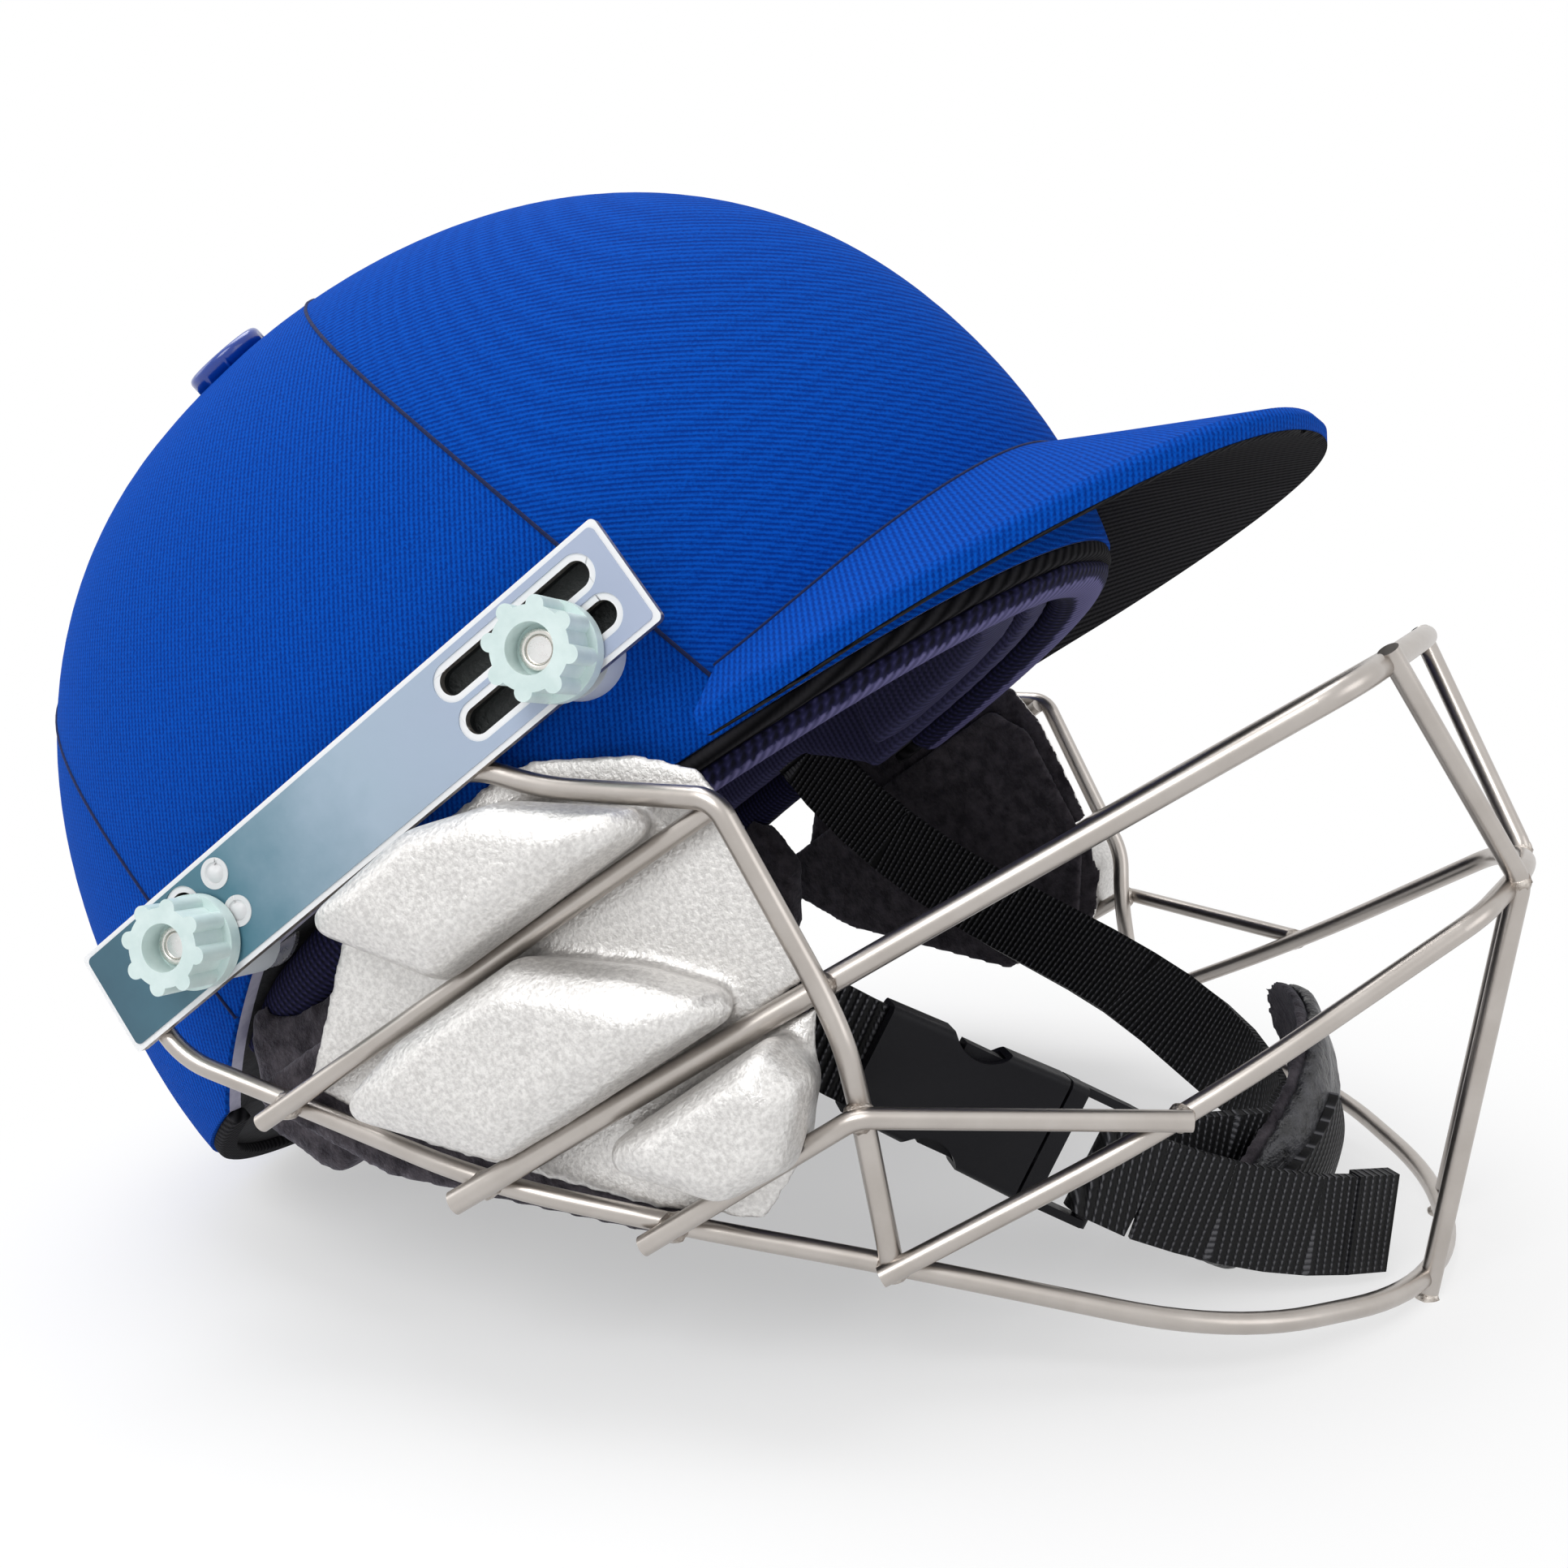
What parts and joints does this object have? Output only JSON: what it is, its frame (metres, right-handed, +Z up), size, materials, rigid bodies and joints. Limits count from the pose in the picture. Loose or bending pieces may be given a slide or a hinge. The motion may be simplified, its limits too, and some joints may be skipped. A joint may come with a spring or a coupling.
{
  "type": "cricket helmet",
  "caption": "Cricket helmet with a fabric-covered shell and peak, a padded wire face guard on side plates with hand knobs, and a webbing chin strap with buckle and chin cup",
  "frame": {"origin": "centre of the bounding box's foot, on the floor that the helmet rests on", "axes": "X points forward out of the face guard, Y to the wearer's left, Z up from the floor, with the helmet lying on its rear rim and the feet of its face guard"},
  "size_m": [0.3638, 0.255, 0.2414],
  "materials": {
    "crown_fabric": "knitted royal blue cover",
    "peak_fabric": "knitted royal blue cover stretched over the peak",
    "shell_plastic": "pale moulded shell",
    "peak_lining": "black woven lining",
    "eyelet_blue": "glossy blue eyelet",
    "foam": "closed cell impact foam",
    "comfort_fabric": "ribbed navy lining",
    "pad_fabric": "pale brushed lining over soft foam",
    "suede": "charcoal brushed suede",
    "twill": "black twill tape",
    "webbing": "black woven polyester webbing",
    "buckle_plastic": "black moulded acetal",
    "cup_leather": "black grained leatherette",
    "steel_satin": "satin drawn wire",
    "plate_steel": "bright sheared strip",
    "label_film": "printed film, dark teal to grey blue",
    "knob_plastic": "pale mint moulded nylon",
    "spacer_plastic": "pale translucent nylon",
    "stud_metal": "plated steel",
    "pad_silver": "silver coated grained foam"
  },
  "bodies": {
    "helmet": {"hard_shell": "shell_plastic", "crown_cover_front": "crown_fabric", "crown_cover_middle": "crown_fabric", "crown_cover_rear": "crown_fabric", "peak_board": "shell_plastic", "peak_cover_top": "peak_fabric", "peak_cover_under": "peak_lining", "vent_eyelet_right": "eyelet_blue", "vent_eyelet_left": "eyelet_blue", "eyelet_washers": "shell_plastic", "plate_studs": "stud_metal", "stud_spacers": "spacer_plastic", "impact_liner": "foam", "comfort_band": "comfort_fabric", "forehead_roll": "comfort_fabric", "forehead_pad": "pad_fabric", "nape_pad": "pad_fabric", "crown_pad": "pad_fabric", "rim_binding_rear": "twill", "rim_binding_front": "twill", "side_roll_right": "comfort_fabric", "side_roll_left": "comfort_fabric", "ear_pad_right": "suede", "ear_pad_left": "suede", "rear_elastic": "webbing", "chin_strap_right": "webbing", "chin_strap_left": "webbing", "strap_tail": "webbing", "buckle_female": "buckle_plastic", "chin_cup": "cup_leather", "chin_cup_lining": "suede", "cup_strap": "webbing"},
    "face_guard": {"side_plate_right": "plate_steel", "side_plate_left": "plate_steel", "plate_backing_right": "plate_steel", "plate_backing_left": "plate_steel", "plate_label_right": "label_film", "plate_label_left": "label_film", "lower_hoop": "steel_satin", "top_bar": "steel_satin", "middle_bar": "steel_satin", "side_upright_right": "steel_satin", "side_upright_left": "steel_satin", "upper_cheek_bar_right": "steel_satin", "upper_cheek_bar_left": "steel_satin", "lower_cheek_bar_right": "steel_satin", "lower_cheek_bar_left": "steel_satin", "front_wire_right": "steel_satin", "front_wire_left": "steel_satin", "side_pad_right": "pad_silver", "side_pad_left": "pad_silver", "side_pad_lining_right": "suede", "side_pad_lining_left": "suede", "plate_rivets": "stud_metal"},
    "buckle_male": {"buckle_male": "buckle_plastic"},
    "knob_front_right": {"knob_front_right": "knob_plastic"},
    "knob_front_left": {"knob_front_left": "knob_plastic"},
    "knob_rear_right": {"knob_rear_right": "knob_plastic"},
    "knob_rear_left": {"knob_rear_left": "knob_plastic"}
  },
  "joints": [
    {"name": "face_guard_tilt", "type": "hinge", "parent": "helmet", "child": "face_guard", "pos_m": [0.02906, 0, 0.13549], "axis": [0, 1, 0], "range_deg": [-4.5, 1.5]},
    {"name": "knob_front_right_turn", "type": "hinge", "parent": "helmet", "child": "knob_front_right", "pos_m": [0.02998, -0.09903, 0.13606], "axis": [0.1841, -0.9763, 0.1138], "continuous": true},
    {"name": "knob_front_left_turn", "type": "hinge", "parent": "helmet", "child": "knob_front_left", "pos_m": [0.02998, 0.09903, 0.13606], "axis": [0.1841, 0.9763, 0.1138], "continuous": true},
    {"name": "knob_rear_right_turn", "type": "hinge", "parent": "helmet", "child": "knob_rear_right", "pos_m": [-0.04622, -0.11922, 0.08612], "axis": [0.1841, -0.9763, 0.1138], "continuous": true},
    {"name": "knob_rear_left_turn", "type": "hinge", "parent": "helmet", "child": "knob_rear_left", "pos_m": [-0.04622, 0.11922, 0.08612], "axis": [0.1841, 0.9763, 0.1138], "continuous": true},
    {"name": "buckle_release", "type": "slide", "parent": "helmet", "child": "buckle_male", "axis": [0.6939, 0.4924, -0.5253], "range_m": [0, 0.006]}
  ]
}
